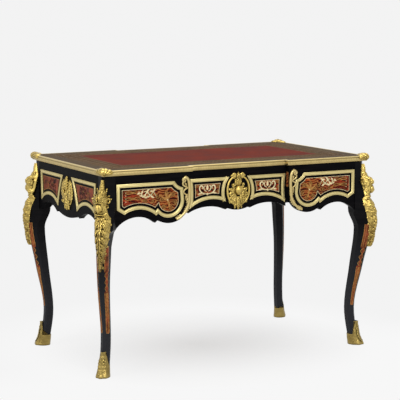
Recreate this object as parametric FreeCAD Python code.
import FreeCAD, Part
import os
from math import hypot, sqrt

# Flat-topped writing desk with three frieze drawers and cabriole legs.
# Millimetres, +Z up, origin on the floor under the middle of the desk, the drawers face -Y.
# Heights in the frieze are given as drops below the underside of the top.
Vector = FreeCAD.Vector

# Overall sizes
top_width = 1150.0
top_depth = 680.0
desk_height = 765.0
top_thickness = 20.0
break_depth = 20.0
break_half_width = 203.0
top_overhang = 10.0

# Curves of the small gilt work are cut in flats this close to them
bronze_flat = 0.2

# Writing top; the last values of the moulding and of the clasp are shares of its size
edge_width = 12.0
torus_foot = 0.23
torus_top = 0.77
lip_foot = 0.8
leather_margin = 51.0
leather_thickness = 2.0
clasp_reach = 46.0
clasp_inset = 30.0
clasp_proud = 5.0
clasp_rise = 11.0
clasp_edge = 1.5
clasp_round = 2.5
clasp_swell = 0.65
clasp_nose = 0.3
clasp_scoop = 0.9
clasp_middle = 0.45

# Boards and fits
board = 20.0
partition_thickness = 18.0
rail_height = 25.0
rail_depth = 60.0
drawer_gap = 1.0
face_gap = 0.5
slide_gap = 0.3
partition_drop = 147.0

# Leg: offsets from the frieze corner; its lower part leans out along the length and in along the depth
post_size = 46.0
post_cant = 18.0
knee_cant = 14.0
ankle_cant = 8.0
post_straight = 55.0
bracket_drop = 194.0
knee_drop = 230.0
inner_knee_drop = 268.0
ankle_height = 150.0
knee_out = 30.0
knee_inner = 29.0
shin_share = 0.48
shin_out = 1.0
shin_inner = 42.0
shin_lean = 10.0
ankle_in = 24.0
ankle_inner = 56.0
ankle_lean = 13.0
foot_in = 10.0
foot_inner = 42.0
bracket_half = 34.5
bracket_fall = 17.0
knee_half = 23.0
shin_half = 20.0
ankle_half = 18.5
leg_flats = 6

# Sabot; the draws are shares of the toe's reach, the rest after them shares of its width and depth
sole = 8.0
sabot_height = 95.0
sabot_side = 44.0
sabot_wall = 3.5
toe_reach = 14.0
toe_height = 26.0
heel_reach = 4.0
foot_half_width = 25.0
toe_draw = 0.6
vamp_draw = 0.95
foot_taper = 0.95
heel_cut = 0.25

# Corner mount on the cant of each leg: drop below the top, half width and reach beyond the frieze corner
mount_back = 14.0
crown = (16.0, 8.0, 2.0)
plume = (42.0, 16.0, 20.0)
head = (84.0, 28.0, 39.0)
chin = (112.0, 25.0, 37.0)
waist = (143.0, 22.0, 21.0)
bust = (184.0, 29.0, 45.0)
leaf = (226.0, 24.0, 51.0)
pendant = (290.0, 15.0, 43.0)
tail = (350.0, 4.0, 25.0)

# Side drawer and its frame; the hollow of the notch is given as shares of the notch
drawer_thickness = 20.0
lobe_radius = 88.0
lobe_drop = 99.0
lobe_step = 48.0
cusp_width = 11.0
cusp_fall = 9.0
arch_rise = 156.0
arch_end_drop = 194.0
frame_width = 13.0
frame_proud = 4.0
frame_margin = 4.0
frame_drop = 32.0
frame_notch_width = 35.0
frame_notch_fall = 25.0
frame_notch_inset = 32.0
notch_hollow_width = 0.55
notch_hollow_fall = 0.72
frame_lobe_radius = 63.0
frame_lobe_inset = 91.0
frame_lobe_drop = 103.0
frame_step = 45.0
frame_cusp_width = 7.0
frame_cusp_fall = 8.0
frame_arch_drop = 128.0
frame_corner_width = 30.0
frame_corner_drop = 125.0
frame_corner_fall = 19.0
inlay_margin = 9.0
inlay_thickness = 1.0

# Middle drawer and its two frames
middle_end_drop = 159.5
middle_arch_drop = 139.5
middle_cusp_x = 53.5
middle_cusp_drop = 155.2
middle_step_x = 44.5
middle_step_drop = 151.5
middle_lobe_drop = 159.6
middle_frame_margin = 4.0
middle_frame_waist = 5.0
middle_frame_top_x = 38.0
middle_frame_side_x = 58.0
middle_frame_foot_x = 51.5
middle_frame_foot_drop = 126.0
middle_frame_arch_drop = 113.0
middle_frame_corner_drop = 145.0

# End panels
end_lobe_drop = 190.0
end_step_y = 98.0
end_step_drop = 174.0
end_cusp_y = 107.0
end_cusp_drop = 181.0
end_arch_drop = 154.0
end_frame_margin = 21.0
end_frame_foot_margin = 27.0
end_frame_foot_drop = 151.0
end_frame_top_y = 40.0
end_frame_side_y = 71.0
end_frame_tip_y = 91.0
end_frame_tip_drop = 157.0
end_frame_arch_drop = 124.0

# Gilt bosses, as half width, half height and drop of the centre, and scrolls
boss_thickness = 20.0
middle_boss = (50.0, 72.0, 88.0)
end_boss = (50.0, 65.0, 97.0)
scroll_thickness = 9.0
scroll_width = 13.0
scroll_edge = 3.0
scroll_curl_radius = 10.0
scroll_curl_drop = 29.0
scroll_end = 30.0

# Drawer boxes, runners and locks
side_thickness = 11.0
rear_space = 85.0
box_drop = 40.0
runner_drop = 123.0
runner_height = 10.0
runner_width = 12.0
guide_height = 26.0
bottom_thickness = 6.0
bottom_rise = 4.0
stop_length = 20.0
stop_height = 14.0
lock_width = 64.0
lock_height = 40.0
lock_thickness = 10.0
bolt_width = 26.0
bolt_thickness = 5.0
bolt_height = 30.0
bolt_throw = 8.0
bolt_gap = 0.4

# Places that follow from the sizes
under_top = desk_height - top_thickness
frieze_x = top_width / 2 - top_overhang
frieze_y = top_depth / 2 - top_overhang
middle_y = frieze_y - break_depth
block_in = break_half_width + top_overhang
post_in_x = frieze_x - post_size
post_in_y = frieze_y - post_size
drawer_top = under_top - rail_height - drawer_gap
drawer_out = post_in_x - drawer_gap
middle_half = block_in - drawer_gap
runner_top = under_top - runner_drop
partition_out = block_in + partition_thickness
box_length = frieze_y - drawer_thickness + middle_y - board - rear_space


def drop(distance):
    """Height of a point given by its distance below the underside of the top."""
    return under_top - distance


def front_at(side, y):
    """Places outline points on a plane that faces the front or back; side mirrors them."""
    return lambda across, height: Vector(side * across, y, height)


def end_at(side, x):
    """Places outline points on a plane that faces an end; side mirrors them."""
    return lambda across, height: Vector(x, side * across, height)


def wire(shape, at, flat=None):
    """Closed wire of an outline: a step of one point is a straight run, of two an arc through the first.

    Given a flat distance, arcs are cut in straight flats that stay as close to them.
    """
    start, steps = shape
    edges = []
    here = start
    for step in steps:
        end = step[-1]
        points = [at(*here), at(*end)]
        if len(step) == 2:
            arc = Part.Arc(points[0], at(*step[0]), points[1])
            if flat is None:
                edges.append(arc.toShape())
                points = []
            else:
                points = arc.discretize(QuasiDeflection=flat)
        edges.extend(Part.makeLine(a, b) for a, b in zip(points, points[1:]))
        here = end
    return Part.Wire(edges)


def slab(shape, at, depth, flat=None):
    """Solid of a flat outline, placed and then extruded along a vector."""
    return Part.Face(wire(shape, at, flat)).extrude(depth)


def arc_circle(start, middle, end):
    """Centre and radius of the circle through three flat points."""
    (ax, ay), (bx, by), (cx, cy) = start, middle, end
    scale = 2 * (ax * (by - cy) + bx * (cy - ay) + cx * (ay - by))
    a, b, c = ax * ax + ay * ay, bx * bx + by * by, cx * cx + cy * cy
    x = (a * (by - cy) + b * (cy - ay) + c * (ay - by)) / scale
    y = (a * (cx - bx) + b * (ax - cx) + c * (bx - ax)) / scale
    return (x, y), hypot(ax - x, ay - y)


def moved_run(start, step, distance):
    """A straight run or an arc, moved to its left: ("line", point, direction) or ("arc", centre, radius)."""
    end = step[-1]
    if len(step) == 1:
        length = hypot(end[0] - start[0], end[1] - start[1])
        along = ((end[0] - start[0]) / length, (end[1] - start[1]) / length)
        return "line", (start[0] - along[1] * distance, start[1] + along[0] * distance), along
    middle = step[0]
    centre, radius = arc_circle(start, middle, end)
    turn = (middle[0] - start[0]) * (end[1] - middle[1]) - (middle[1] - start[1]) * (end[0] - middle[0])
    return "arc", centre, radius - distance if turn > 0 else radius + distance


def crossings(first, second):
    """Points where two moved runs cross."""
    if first[0] == "arc" and second[0] == "line":
        return crossings(second, first)
    _, point, along = first
    if second[0] == "line":
        _, other, slope = second
        cross = along[0] * slope[1] - along[1] * slope[0]
        reach = ((other[0] - point[0]) * slope[1] - (other[1] - point[1]) * slope[0]) / cross
        return [(point[0] + reach * along[0], point[1] + reach * along[1])]
    _, centre, radius = second
    if first[0] == "line":
        foot = (centre[0] - point[0]) * along[0] + (centre[1] - point[1]) * along[1]
        near = (point[0] + foot * along[0], point[1] + foot * along[1])
        apart = hypot(near[0] - centre[0], near[1] - centre[1])
        span = sqrt(max(radius * radius - apart * apart, 0.0))
        return [(near[0] + sign * span * along[0], near[1] + sign * span * along[1]) for sign in (-1, 1)]
    gap = hypot(centre[0] - point[0], centre[1] - point[1])
    share = (gap * gap + along * along - radius * radius) / (2 * gap)
    rise = sqrt(max(along * along - share * share, 0.0))
    unit = ((centre[0] - point[0]) / gap, (centre[1] - point[1]) / gap)
    near = (point[0] + share * unit[0], point[1] + share * unit[1])
    return [(near[0] - sign * rise * unit[1], near[1] + sign * rise * unit[0]) for sign in (-1, 1)]


def inset(shape, distance):
    """A closed outline moved inwards by a distance, with its corners kept sharp."""
    start, steps = shape
    corners = [start] + [step[-1] for step in steps[:-1]]
    area = sum(a[0] * b[1] - a[1] * b[0] for a, b in zip(corners, corners[1:] + corners[:1]))
    inward = distance if area > 0 else -distance
    runs = [moved_run(corner, step, inward) for corner, step in zip(corners, steps)]
    moved = []
    for index, corner in enumerate(corners):
        found = crossings(runs[index - 1], runs[index])
        moved.append(min(found, key=lambda point: hypot(point[0] - corner[0], point[1] - corner[1])))
    new_steps = []
    for step, run, end in zip(steps, runs, moved[1:] + moved[:1]):
        if len(step) == 1:
            new_steps.append((end,))
            continue
        _, centre, radius = run
        reach = hypot(step[0][0] - centre[0], step[0][1] - centre[1])
        middle = tuple(c + (m - c) * radius / reach for m, c in zip(step[0], centre))
        new_steps.append((middle, end))
    return moved[0], new_steps


def block(low, high):
    """Box between two corners, in any order."""
    corner = Vector(min(low[0], high[0]), min(low[1], high[1]), min(low[2], high[2]))
    size = [abs(a - b) for a, b in zip(low, high)]
    return Part.makeBox(size[0], size[1], size[2], corner)


def mirrored(shape, flip_x, flip_y):
    """Copy of a shape in another quarter of the desk."""
    if flip_x:
        shape = shape.mirror(Vector(0, 0, 0), Vector(1, 0, 0))
    if flip_y:
        shape = shape.mirror(Vector(0, 0, 0), Vector(0, 1, 0))
    return shape


def save(name, *solids):
    """Writes one node; several solids make a group."""
    shape = solids[0] if len(solids) == 1 else Part.makeCompound(list(solids))
    shape.exportStep(os.path.join("parts", name + ".step"))


# Top

def top_outline(margin):
    """Corners of the top, with the middle of front and back set back, moved in by a margin."""
    x = top_width / 2 - margin
    y = top_depth / 2 - margin
    step = break_half_width + margin
    set_back = y - break_depth
    front = [(-x, -y), (-step, -y), (-step, -set_back), (step, -set_back), (step, -y), (x, -y)]
    return front + [(-a, -b) for a, b in front]


def plate(points, bottom, height):
    """Upright prism on a list of plan corners."""
    corners = [Vector(x, y, bottom) for x, y in points]
    return Part.Face(Part.makePolygon(corners + corners[:1])).extrude(Vector(0, 0, height))


def leather_field():
    half_x = top_width / 2 - edge_width - leather_margin
    half_y = top_depth / 2 - edge_width - leather_margin
    bottom = desk_height - leather_thickness
    return block((-half_x, -half_y, bottom), (half_x, half_y, desk_height))


def moulding_section(x, y):
    """Edge moulding section: bevelled foot, torus in the middle and bevelled lip. Out is -Y."""
    out = edge_width
    tall = top_thickness
    lip = out / 6
    at = lambda across, height: Vector(x, y - across, under_top + height)
    torus = [((out - lip, tall * torus_foot),), ((out, tall / 2), (out - lip, tall * torus_top))]
    upper = [((out - 2 * lip, tall * lip_foot),), ((out - 3 * lip, tall),), ((0, tall),), ((0, 0),)]
    return wire(((0, 0), [((out - 2 * lip, 0),)] + torus + upper), at, bronze_flat)


def edge_mouldings():
    """The four mitred lengths of gilt edge moulding: front, back and both ends."""
    path = [Vector(x, y, under_top) for x, y in top_outline(edge_width)[:6]]
    run_on = Vector(2 * edge_width, 0, 0)
    path[0] = path[0] - run_on
    path[-1] = path[-1] + run_on
    start = path[0]
    front = Part.makePolygon(path).makePipeShell([moulding_section(start.x, start.y)], True, False, 1)
    half_x = top_width / 2 - edge_width
    half_y = top_depth / 2 - edge_width
    reach = 2 * edge_width
    end_section = moulding_section(-half_y - reach, -half_x)
    end = Part.Face(end_section).extrude(Vector(2 * (half_y + reach), 0, 0))
    end.rotate(Vector(0, 0, 0), Vector(0, 0, 1), -90)
    wide = half_x + 2 * reach
    deep = half_y + 2 * reach
    for sign in (-1, 1):
        beyond_end = [(-half_x, sign * half_y), (-wide, sign * deep), (2 * reach - half_x, sign * deep)]
        end = end.cut(plate(beyond_end, under_top, top_thickness))
        beyond_front = [(sign * half_x, -half_y), (sign * wide, -deep), (sign * wide, 2 * reach - half_y)]
        front = front.cut(plate(beyond_front, under_top, top_thickness))
    lengths = (front, mirrored(front, False, True), end, mirrored(end, True, False))
    return [length.Solids[0] for length in lengths]


def corner_clasp(covered):
    """Gilt clasp over a corner of the top: a domed cap with a scooped back."""
    x = top_width / 2 + clasp_proud
    y = top_depth / 2 + clasp_proud
    thin = clasp_proud - clasp_edge
    arm = ((clasp_reach, thin), (clasp_reach * clasp_swell, 0), (clasp_reach * clasp_nose, 0))
    hollow = clasp_inset * clasp_scoop
    scoop = ((clasp_inset, clasp_reach), (hollow, hollow), (clasp_reach, clasp_inset))
    plan = arm + ((thin, thin),) + tuple((b, a) for a, b in reversed(arm)) + scoop
    middle = clasp_reach * clasp_middle
    bevel = clasp_round / middle
    shoulder = desk_height + clasp_rise / 2
    levels = ((under_top, 0.0), (desk_height, 0.0), (shoulder, bevel), (desk_height + clasp_rise, 4 * bevel))
    rings = []
    for height, shrink in levels:
        drawn_in = [(a - (a - middle) * shrink, b - (b - middle) * shrink) for a, b in plan]
        rings.append([Vector(x - a, y - b, height) for a, b in drawn_in])
    return faceted(rings).cut(covered).Solids[0]


# Leg, built in the quarter of +X and +Y

def leg_heights():
    """Heights of the leg's stations: end of the straight post, knee, shin, ankle and foot."""
    knee = drop(knee_drop)
    shin = ankle_height + shin_share * (knee - ankle_height)
    return drop(post_straight), knee, shin, ankle_height, sole


def leg_lean(height):
    """How far the leg stands out along the length, and as far in along the depth, at a height."""
    _, knee, shin, ankle, _ = leg_heights()
    if height > shin:
        return shin_lean * max(knee - height, 0) / (knee - shin)
    return shin_lean + (ankle_lean - shin_lean) * (shin - max(height, ankle)) / (shin - ankle)


def leg_outline():
    """Outer and inner lines of an upright leg, as lists of (offset from the frieze corner, height)."""
    post, knee, shin, ankle, foot = leg_heights()
    outer = [(0, post), (knee_out, knee), (shin_out, shin), (-ankle_in, ankle), (-foot_in, foot)]
    inward = [(-post_size, drop(bracket_drop)), (-knee_inner, drop(inner_knee_drop)), (-shin_inner, shin),
              (-ankle_inner, ankle), (-foot_inner, foot)]
    return outer, inward


def leaning(line, share):
    """A leg line moved by a share of the lean at each of its heights."""
    return [(offset + share * leg_lean(height), height) for offset, height in line]


def cant_line():
    """Line of the canted outer corner, by its distance outward along the diagonal."""
    shin_cant = (knee_cant + ankle_cant) / 2
    widths = (post_cant, knee_cant, shin_cant, ankle_cant, ankle_cant)
    outer = leg_outline()[0]
    return [((2 * offset - width) / sqrt(2), height) for (offset, height), width in zip(outer, widths)]


def cant_at(height):
    """Distance outward of the cant at a height, along straight runs between its stations."""
    stations = [(cant_line()[0][0], under_top)] + cant_line()
    for (high_out, high), (low_out, low) in zip(stations, stations[1:]):
        if height >= low:
            return low_out + (high_out - low_out) * (height - low) / (high - low)


def flank_line():
    """Line of the flanks that slim the leg below its bracket, by their distance from the diagonal."""
    bracket = drop(bracket_drop)
    _, _, shin, ankle, foot = leg_heights()
    upper = [(bracket_half, bracket), (knee_half, bracket - bracket_fall), (knee_half, drop(inner_knee_drop))]
    return upper + [(shin_half, shin), (ankle_half, ankle), (ankle_half, foot)]


def flats_along(line, sheer):
    """Corners of the flats of a smooth leg line that turns back only at its stations.

    It leaves its first station straight down or, if it is sheer, along its first run.
    """
    runs = list(zip(line, line[1:]))
    leans = [(low[0] - high[0]) / (low[1] - high[1]) for high, low in runs]
    slopes = [leans[0] if sheer else 0.0]
    for above, below in zip(leans, leans[1:]):
        slopes.append(2 * above * below / (above + below) if above * below > 0 else 0.0)
    slopes.append(leans[-1])
    corners = [line[0]]
    for ((start, high), (end, low)), first, last in zip(runs, slopes, slopes[1:]):
        fall = low - high
        for flat in range(1, leg_flats + 1):
            t = flat / leg_flats
            ease = t * t * (3 - 2 * t)
            pull = first * t * (1 - t) ** 2 - last * t * t * (1 - t)
            corners.append((start + (end - start) * ease + pull * fall, high + fall * t))
    return corners


def sawn_side(line, back, at, along, sheer=False):
    """Solid between a leg line cut in flats, straight above its first point, and a line at a back offset."""
    outline = flats_along(line, sheer) + [(back, line[-1][1]), (back, under_top), (line[0][0], under_top)]
    corners = [at(*point) for point in outline]
    return Part.Face(Part.makePolygon(corners + corners[:1])).extrude(along)


def leg():
    """Cabriole leg: sawn from two neighbouring sides, its outer corner canted and its flanks slimmed."""
    outer, inward = leg_outline()
    reach = 2 * post_size
    x_at = lambda offset, height: Vector(frieze_x + offset, frieze_y - reach, height)
    y_at = lambda offset, height: Vector(frieze_x - reach, frieze_y + offset, height)
    shape = None
    for at, along, share in ((x_at, Vector(0, 2 * reach, 0), 1), (y_at, Vector(2 * reach, 0, 0), -1)):
        waste = sawn_side(leaning(inward, share), -2 * reach, at, along)
        sawn = sawn_side(leaning(outer, share), -reach, at, along).cut(waste)
        shape = sawn if shape is None else shape.common(sawn)
    diagonal = lambda outward, height: corner_frame(outward, -reach, height)
    across = corner_frame(0, 2 * reach, 0) - corner_frame(0, 0, 0)
    shape = shape.common(sawn_side(cant_line(), -2 * reach, diagonal, across))
    outward = corner_frame(4 * reach, 0, 0) - corner_frame(0, 0, 0)
    for side in (-1, 1):
        flank_at = lambda aside, height: corner_frame(-2 * reach, side * aside, height)
        line = leaning(flank_line(), side * sqrt(2))
        shape = shape.common(sawn_side(line, -2 * reach, flank_at, outward, True))
    return shape.Solids[0]


def corner_frame(outward, aside, height):
    """Point by its distance outward along the corner's diagonal from the frieze corner, and aside from it."""
    return Vector(frieze_x + (outward + aside) / sqrt(2), frieze_y + (outward - aside) / sqrt(2), height)


def faceted(rings):
    """Solid skinned with flat facets over rings of as many points each, and closed at both ends."""
    faces = [Part.Face(Part.makePolygon(end + end[:1])) for end in (rings[0], rings[-1])]
    for low, high in zip(rings, rings[1:]):
        for index in range(len(low)):
            a, b = low[index - 1], low[index]
            c, d = high[index], high[index - 1]
            for corners in ((a, b, c), (a, c, d)):
                faces.append(Part.Face(Part.makePolygon(corners + corners[:1])))
    solid = Part.makeSolid(Part.makeShell(faces))
    if solid.Volume < 0:
        solid.reverse()
    return solid


def sabot(leg_shape):
    """Hoof-shaped gilt shoe: a flared foot that draws in to a collar, rising to a tongue on the cant."""
    share = lambda height: (height - sole) / (ankle_height - sole)
    inner_at = lambda height: foot_inner + share(height) * (ankle_inner - foot_inner)
    collar_out = cant_at(sabot_height) + sabot_wall
    collar_back = -sqrt(2) * inner_at(sabot_height) - sabot_wall
    heel_back = -sqrt(2) * inner_at(sabot_side) - sabot_wall
    collar_half = ankle_half + sabot_wall
    aside = sqrt(2) * ankle_lean
    foot_out = -sqrt(2) * foot_in + toe_reach
    foot_back = -sqrt(2) * foot_inner - heel_reach
    toe_out = foot_out - toe_reach * toe_draw
    vamp_out = foot_out - toe_reach * vamp_draw
    levels = [(0.0, foot_back, foot_out, foot_half_width),
              (toe_height, foot_back - heel_reach, toe_out, foot_half_width * foot_taper),
              (sabot_side, heel_back, vamp_out, collar_half + sabot_wall / 2),
              (sabot_height, collar_back, collar_out, collar_half)]
    half_plan = ((1, 0), (0.9, 0.4), (0.6, 0.78), (0.05, 1), (-0.6, 0.82), (-0.9, 0.42), (-1, 0))
    plan = half_plan + tuple((a, -b) for a, b in reversed(half_plan[1:-1]))
    rings = []
    for height, back, front, half in levels:
        middle = (back + front) / 2
        long = (front - back) / 2
        rings.append([corner_frame(middle + long * a, aside + half * b, height) for a, b in plan])
    body = faceted(rings)
    slope_at = lambda outward, height: corner_frame(outward, -2 * foot_half_width, height)
    low = collar_back - foot_half_width
    above = sabot_height + sole
    heel = (collar_back + (collar_out - collar_back) * heel_cut, sabot_side)
    tongue = [(collar_out, sabot_height), (collar_out, above)]
    beyond = [(low, above), (low, sabot_side)]
    slope = (low, sabot_side), [(point,) for point in [heel] + tongue + beyond]
    across = corner_frame(0, 4 * foot_half_width, 0) - corner_frame(0, 0, 0)
    return body.cut(slab(slope, slope_at, across)).cut(leg_shape).Solids[0]


def corner_mount(leg_shape):
    """Gilt mount on the leg's cant: crown, head and bust above a foliate drop that tapers to a point."""
    levels = (crown, plume, head, chin, waist, bust, leaf, pendant, tail)
    section = ((0, -1), (0.68, -1), (0.92, -0.6), (1, 0), (0.92, 0.6), (0.68, 1), (0, 1))
    rings = []
    for below, half, reach in levels:
        height = drop(below)
        back = cant_at(height) - mount_back
        aside = sqrt(2) * leg_lean(height)
        rings.append([corner_frame(back + (reach - back) * a, aside + half * b, height) for a, b in section])
    return max(faceted(rings).cut(leg_shape).Solids, key=lambda solid: solid.Volume)


# Frieze outlines, as (distance from the middle, height)

def lobe_point(across):
    """Point on the lower half of a side drawer's lobe."""
    fall = sqrt(lobe_radius ** 2 - (across - block_in - lobe_radius) ** 2)
    return across, drop(lobe_drop) - fall


def side_outline(top, out):
    """Side drawer front: straight end, round lobe, cusp and arch up to the leg."""
    centre = block_in + lobe_radius
    step = lobe_point(centre + lobe_step)
    cusp = (step[0] + cusp_width, step[1] - cusp_fall)
    arch = ((cusp[0] + out) / 2, drop(arch_rise))
    round_start = (block_in, drop(lobe_drop))
    steps = [(round_start,), (lobe_point(centre - lobe_radius / sqrt(2)), step), (cusp,),
             (arch, (out, drop(arch_end_drop))), ((out, top),), ((block_in, top),)]
    return (block_in, top), steps


def side_frame_outline():
    """Gilt frame of a side drawer: notched inner corner, lobe, cusp, arch and clipped outer corner."""
    out = post_in_x - frame_margin
    top = drop(frame_drop)
    notch_x = block_in + frame_notch_inset
    notch = (notch_x, top - frame_notch_fall)
    shoulder = (notch_x + frame_notch_width, top)
    hollow = (notch_x + frame_notch_width * notch_hollow_width, top - frame_notch_fall * notch_hollow_fall)
    lobe_x = block_in + frame_lobe_inset
    lobe_z = drop(frame_lobe_drop)
    lobe_start = (lobe_x - frame_lobe_radius, lobe_z)
    lobe_middle = (lobe_x - frame_lobe_radius / sqrt(2), lobe_z - frame_lobe_radius / sqrt(2))
    step = (lobe_x + frame_step, lobe_z - sqrt(frame_lobe_radius ** 2 - frame_step ** 2))
    cusp = (step[0] + frame_cusp_width, step[1] - frame_cusp_fall)
    clip = (out, drop(frame_corner_drop))
    foot = (out - frame_corner_width, clip[1] - frame_corner_fall)
    arch = ((cusp[0] + foot[0]) / 2, drop(frame_arch_drop))
    steps = [(shoulder,), (hollow, notch), (lobe_start,), (lobe_middle, step), (cusp,), (arch, foot), (clip,),
             ((out, top),)]
    return (out, top), steps


def middle_outline(top, half):
    """Middle drawer front: an arch each side of a shallow centre lobe."""
    arch_x = (half + middle_cusp_x) / 2
    left = [((-arch_x, drop(middle_arch_drop)), (-middle_cusp_x, drop(middle_cusp_drop))),
            ((-middle_step_x, drop(middle_step_drop)),)]
    right = [((0, drop(middle_lobe_drop)), (middle_step_x, drop(middle_step_drop))),
             ((middle_cusp_x, drop(middle_cusp_drop)),),
             ((arch_x, drop(middle_arch_drop)), (half, drop(middle_end_drop)))]
    sides = [((half, top),), ((-half, top),)]
    return (-half, top), [((-half, drop(middle_end_drop)),)] + left + right + sides


def middle_frame_outline():
    """One of the two gilt frames of the middle drawer, hollowed towards the boss between them."""
    out = block_in - middle_frame_margin
    top = drop(frame_drop)
    foot = (middle_frame_foot_x, drop(middle_frame_foot_drop))
    corner = (out, drop(middle_frame_corner_drop))
    half_way = (top + foot[1]) / 2
    arch = ((foot[0] + out) / 2, drop(middle_frame_arch_drop))
    waist = (out - middle_frame_waist, (top + corner[1]) / 2)
    steps = [((middle_frame_top_x, top),), ((middle_frame_side_x, half_way), foot), (arch, corner),
             (waist, (out, top))]
    return (out, top), steps


def end_outline():
    """End frieze: an arch each side of a drooping centre lobe."""
    half = post_in_y
    arch_y = (half + end_cusp_y) / 2
    left = [((-arch_y, drop(end_arch_drop)), (-end_cusp_y, drop(end_cusp_drop))),
            ((-end_step_y, drop(end_step_drop)),)]
    right = [((0, drop(end_lobe_drop)), (end_step_y, drop(end_step_drop))),
             ((end_cusp_y, drop(end_cusp_drop)),),
             ((arch_y, drop(end_arch_drop)), (half, drop(arch_end_drop)))]
    sides = [((half, under_top),), ((-half, under_top),)]
    return (-half, under_top), [((-half, drop(arch_end_drop)),)] + left + right + sides


def end_frame_outline():
    """Gilt frame of an end panel, hollowed round the end boss and arched below."""
    out = post_in_y - end_frame_margin
    top = drop(frame_drop)
    tip = (end_frame_tip_y, drop(end_frame_tip_drop))
    foot = (post_in_y - end_frame_foot_margin, drop(end_frame_foot_drop))
    arch = ((tip[0] + foot[0]) / 2, drop(end_frame_arch_drop))
    side = (end_frame_side_y, (top + tip[1]) / 2)
    steps = [((end_frame_top_y, top),), (side, tip), (arch, foot), ((out, top),)]
    return (out, top), steps


def framed_panel(shape, at, out):
    """Frame ring standing on a face and marquetry panel let in flush; out is the face's unit normal."""
    rim = slab(inset(shape, frame_width), at, out * frame_proud)
    frame = slab(shape, at, out * frame_proud).cut(rim)
    return frame.Solids[0], slab(inset(shape, frame_width + inlay_margin), at, out * -inlay_thickness)


def boss(size, at, out):
    """Domed cartouche on a face: a lobed outline that shrinks as it rises."""
    half_width, half_height, centre_drop = size
    shape = ((0, 1), (0.5, 0.86), (0.78, 0.55), (1, 0.05), (0.82, -0.48), (0.5, -0.8), (0, -1))
    points = list(shape) + [(-a, b) for a, b in reversed(shape[1:-1])]
    rings = []
    for share, rise in ((1.0, 0.0), (0.94, 0.25), (0.8, 0.6), (0.5, 0.9), (0.2, 1.0)):
        places = []
        for across, height in points:
            flat = at(across * half_width * share, drop(centre_drop) + height * half_height * share)
            places.append(flat + out * (rise * boss_thickness))
        rings.append(places)
    return faceted(rings)


def scroll(at, out):
    """C-scroll along a side drawer's straight end and round its lobe, with a curl at the top."""
    centre_x = block_in + lobe_radius
    centre_z = drop(lobe_drop)
    outer = lobe_radius - scroll_edge
    slim = outer - scroll_width
    curl_z = drop(scroll_curl_drop)
    end_x = centre_x - scroll_end
    tip_out = (end_x, centre_z - sqrt(outer ** 2 - scroll_end ** 2))
    tip_in = (end_x, centre_z - sqrt((slim + scroll_width / 2) ** 2 - scroll_end ** 2))
    middle_out = (centre_x - outer / sqrt(2), centre_z - outer / sqrt(2))
    middle_in = (centre_x - slim / sqrt(2), centre_z - slim / sqrt(2))
    steps = [((centre_x - outer, centre_z),), (middle_out, tip_out), (tip_in,),
             (middle_in, (centre_x - slim, centre_z)), ((centre_x - slim, curl_z),),
             ((centre_x - outer, curl_z),)]
    thick = out * scroll_thickness
    band = slab(((centre_x - outer, curl_z), steps), at, thick, bronze_flat)
    curl_x = centre_x - outer + scroll_curl_radius
    right = (curl_x + scroll_curl_radius, curl_z)
    left = (curl_x - scroll_curl_radius, curl_z)
    over = (curl_x, curl_z + scroll_curl_radius)
    under = (curl_x, curl_z - scroll_curl_radius)
    curl = slab((right, [(over, left), (under, right)]), at, thick, bronze_flat)
    return band.fuse(curl).removeSplitter().Solids[0]


# Carcass

def front_rail():
    """Rail under the front of the top, stepped like the top, with a mortise above each lock bolt."""
    back = -(frieze_y - rail_depth)
    low = drop(rail_height)
    rail = block((-post_in_x, -middle_y + face_gap, low), (post_in_x, back, under_top))
    for side in (-1, 1):
        step = block((side * block_in, -frieze_y + face_gap, low), (side * post_in_x, back, under_top))
        rail = rail.fuse(step)
    for centre, face in lock_places():
        half = bolt_width / 2 + bolt_gap
        front = face + lock_thickness / 2 - bolt_thickness / 2 - bolt_gap
        rear = front + bolt_thickness + 2 * bolt_gap
        slot = block((centre - half, front, low), (centre + half, rear, low + bolt_throw + drawer_gap))
        rail = rail.cut(slot)
    return rail.removeSplitter().Solids[0]


def lock_places():
    """Middle and back face of each drawer front: left, middle and right drawer."""
    side_centre = (block_in + drawer_out) / 2
    side_face = -frieze_y + drawer_thickness
    return (-side_centre, side_face), (0.0, -middle_y + drawer_thickness), (side_centre, side_face)


def back_frieze():
    """Back of the frieze, shaped and stepped like the three drawer fronts."""
    inside = middle_y - board
    frieze = slab(middle_outline(under_top, block_in), front_at(1, inside), Vector(0, board, 0))
    thick = Vector(0, frieze_y - inside, 0)
    for side in (-1, 1):
        frieze = frieze.fuse(slab(side_outline(under_top, post_in_x), front_at(side, inside), thick))
    return frieze.removeSplitter().Solids[0]


def end_frieze(side):
    x = side * (frieze_x - board)
    return slab(end_outline(), end_at(1, x), Vector(side * board, 0, 0))


def partition(side, rail):
    low = (side * block_in, -middle_y + face_gap, drop(partition_drop))
    high = (side * partition_out, middle_y - board, under_top)
    return block(low, high).cut(rail).Solids[0]


def runners():
    """A runner under each drawer side: four on the partitions and two on the end friezes."""
    low = runner_top - runner_height
    end_face = frieze_x - board
    strip = lambda near, far, bottom, top: block((near, -post_in_y, bottom), (far, post_in_y, top))
    solids = []
    for side in (-1, 1):
        solids.append(strip(side * block_in, side * (block_in - runner_width), low, runner_top))
        solids.append(strip(side * partition_out, side * (partition_out + runner_width), low, runner_top))
        outer = strip(side * (post_in_x - runner_width), side * end_face, low, runner_top)
        guide = strip(side * post_in_x, side * end_face, runner_top, runner_top + guide_height)
        solids.append(outer.fuse(guide).removeSplitter().Solids[0])
    return solids


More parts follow.
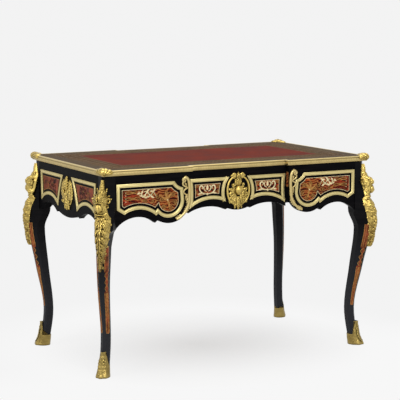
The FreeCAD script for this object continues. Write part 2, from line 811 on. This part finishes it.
def stops(box_ends):
    """A stop block on each runner, behind the drawer side that runs on it."""
    solids = []
    for side in (-1, 1):
        spans = ((block_in - runner_width, block_in), (partition_out, partition_out + runner_width),
                 (post_in_x - runner_width, post_in_x))
        for (low_x, high_x), end in zip(spans, (box_ends[1], box_ends[0], box_ends[0])):
            start = end + face_gap
            solids.append(block((side * low_x, start, runner_top),
                                (side * high_x, start + stop_length, runner_top + stop_height)))
    return solids


# Drawers

def drawer_box(low_x, high_x, front_face):
    """Two sides, the back and the bottom of a drawer box between two outer faces."""
    bottom = runner_top + slide_gap
    top = drop(box_drop)
    end = front_face + box_length
    sides = [block((low_x, front_face, bottom), (low_x + side_thickness, end, top)),
             block((high_x - side_thickness, front_face, bottom), (high_x, end, top))]
    inside_low = low_x + side_thickness
    inside_high = high_x - side_thickness
    floor = bottom + bottom_rise
    base = block((inside_low, front_face, floor), (inside_high, end, floor + bottom_thickness))
    back = block((inside_low, end - side_thickness, floor + bottom_thickness), (inside_high, end, top))
    return sides, back, base


def lock(centre, face):
    """Lock case on the back of a drawer front, and the bolt that slides up out of it."""
    half = lock_width / 2
    high = drawer_top - face_gap
    case = block((centre - half, face, high - lock_height), (centre + half, face + lock_thickness, high))
    upright = [edge for edge in case.Edges if edge.BoundBox.YLength > lock_thickness / 2]
    lower = [edge for edge in upright if edge.BoundBox.ZMax < high - lock_height / 2]
    case = case.makeChamfer(lock_thickness / 2, lower)
    middle = face + lock_thickness / 2
    half_bolt = bolt_width / 2
    thin = bolt_thickness / 2
    bolt_low = high - bolt_height
    slot = block((centre - half_bolt - bolt_gap, middle - thin - bolt_gap, bolt_low - bolt_gap),
                 (centre + half_bolt + bolt_gap, middle + thin + bolt_gap, high))
    bolt = block((centre - half_bolt, middle - thin, bolt_low), (centre + half_bolt, middle + thin, high))
    return case.cut(slot).Solids[0], bolt


def side_drawer(name, side):
    """All the pieces of a side drawer; side is -1 for the left one and 1 for the right one."""
    back_face = -frieze_y + drawer_thickness
    at = front_at(side, -frieze_y)
    out = Vector(0, -1, 0)
    front = slab(side_outline(drawer_top, drawer_out), at, out * -drawer_thickness)
    frame, inlay = framed_panel(side_frame_outline(), at, out)
    near = side * (partition_out + drawer_gap)
    far = side * (drawer_out - drawer_gap / 2)
    sides, back, base = drawer_box(min(near, far), max(near, far), back_face)
    case, bolt = lock(side * (block_in + drawer_out) / 2, back_face)
    save(name + "_front", front.cut(inlay).Solids[0])
    save(name + "_frame", frame)
    save(name + "_marquetry", inlay)
    save(name + "_sides", *sides)
    save(name + "_back", back)
    save(name + "_bottom", base)
    save(name + "_lock", case)
    save(name + "_lock_bolt", bolt)
    save(name + "_scroll_mount", scroll(at, out))
    return back_face + box_length


def middle_drawer(name):
    back_face = -middle_y + drawer_thickness
    out = Vector(0, -1, 0)
    front = slab(middle_outline(drawer_top, middle_half), front_at(1, -middle_y), out * -drawer_thickness)
    frames = []
    inlays = []
    for side in (-1, 1):
        frame, inlay = framed_panel(middle_frame_outline(), front_at(side, -middle_y), out)
        frames.append(frame)
        inlays.append(inlay)
        front = front.cut(inlay)
    sides, back, base = drawer_box(-middle_half, middle_half, back_face)
    case, bolt = lock(0.0, back_face)
    save(name + "_front", front.Solids[0])
    save(name + "_frames", *frames)
    save(name + "_marquetry", *inlays)
    save(name + "_sides", *sides)
    save(name + "_back", back)
    save(name + "_bottom", base)
    save(name + "_lock", case)
    save(name + "_lock_bolt", bolt)
    save(name + "_boss", boss(middle_boss, front_at(1, -middle_y), out))
    return back_face + box_length


# Whole desk

def build_top():
    leather = leather_field()
    whole = plate(top_outline(edge_width), under_top, top_thickness)
    front, back, left, right = edge_mouldings()
    clasp = corner_clasp(plate(top_outline(0), under_top, top_thickness))
    save("top_board", whole.cut(leather).Solids[0])
    save("writing_leather", leather)
    save("front_edge_moulding", front)
    save("back_edge_moulding", back)
    save("end_edge_mouldings", left, right)
    quarters = [(flip_x, flip_y) for flip_x in (False, True) for flip_y in (False, True)]
    save("top_corner_clasps", *[mirrored(clasp, *quarter).Solids[0] for quarter in quarters])


def build_legs():
    shape = leg()
    shoe = sabot(shape)
    mount = corner_mount(shape)
    for name, flip_x, flip_y in (("front_left", True, True), ("front_right", False, True),
                                 ("back_left", True, False), ("back_right", False, False)):
        save("leg_" + name, mirrored(shape, flip_x, flip_y))
        save("sabot_" + name, mirrored(shoe, flip_x, flip_y))
        save("corner_mount_" + name, mirrored(mount, flip_x, flip_y))


def build_carcass(box_ends):
    rail = front_rail()
    save("front_top_rail", rail)
    save("left_partition", partition(-1, rail))
    save("right_partition", partition(1, rail))
    save("drawer_runners", *runners())
    save("drawer_stops", *stops(box_ends))


def build_back():
    frieze = back_frieze()
    out = Vector(0, 1, 0)
    frames = []
    inlays = []
    for side in (-1, 1):
        for shape, face in ((side_frame_outline(), frieze_y), (middle_frame_outline(), middle_y)):
            frame, inlay = framed_panel(shape, front_at(side, face), out)
            frames.append(frame)
            inlays.append(inlay)
            frieze = frieze.cut(inlay)
    save("back_frieze", frieze.Solids[0])
    save("back_frames", *frames)
    save("back_marquetry", *inlays)
    save("back_boss", boss(middle_boss, front_at(1, middle_y), out))
    save("back_scroll_mounts", *[scroll(front_at(side, frieze_y), out) for side in (-1, 1)])


def build_ends():
    frames = []
    inlays = []
    bosses = []
    for name, x_side in (("left", -1), ("right", 1)):
        frieze = end_frieze(x_side)
        out = Vector(x_side, 0, 0)
        for y_side in (-1, 1):
            frame, inlay = framed_panel(end_frame_outline(), end_at(y_side, x_side * frieze_x), out)
            frames.append(frame)
            inlays.append(inlay)
            frieze = frieze.cut(inlay)
        save(name + "_end_frieze", frieze.Solids[0])
        bosses.append(boss(end_boss, end_at(1, x_side * frieze_x), out))
    save("end_frames", *frames)
    save("end_marquetry", *inlays)
    save("end_bosses", *bosses)


os.makedirs("parts", exist_ok=True)
build_top()
build_legs()
side_end = side_drawer("left_drawer", -1)
side_drawer("right_drawer", 1)
middle_end = middle_drawer("middle_drawer")
build_carcass((side_end, middle_end))
build_back()
build_ends()
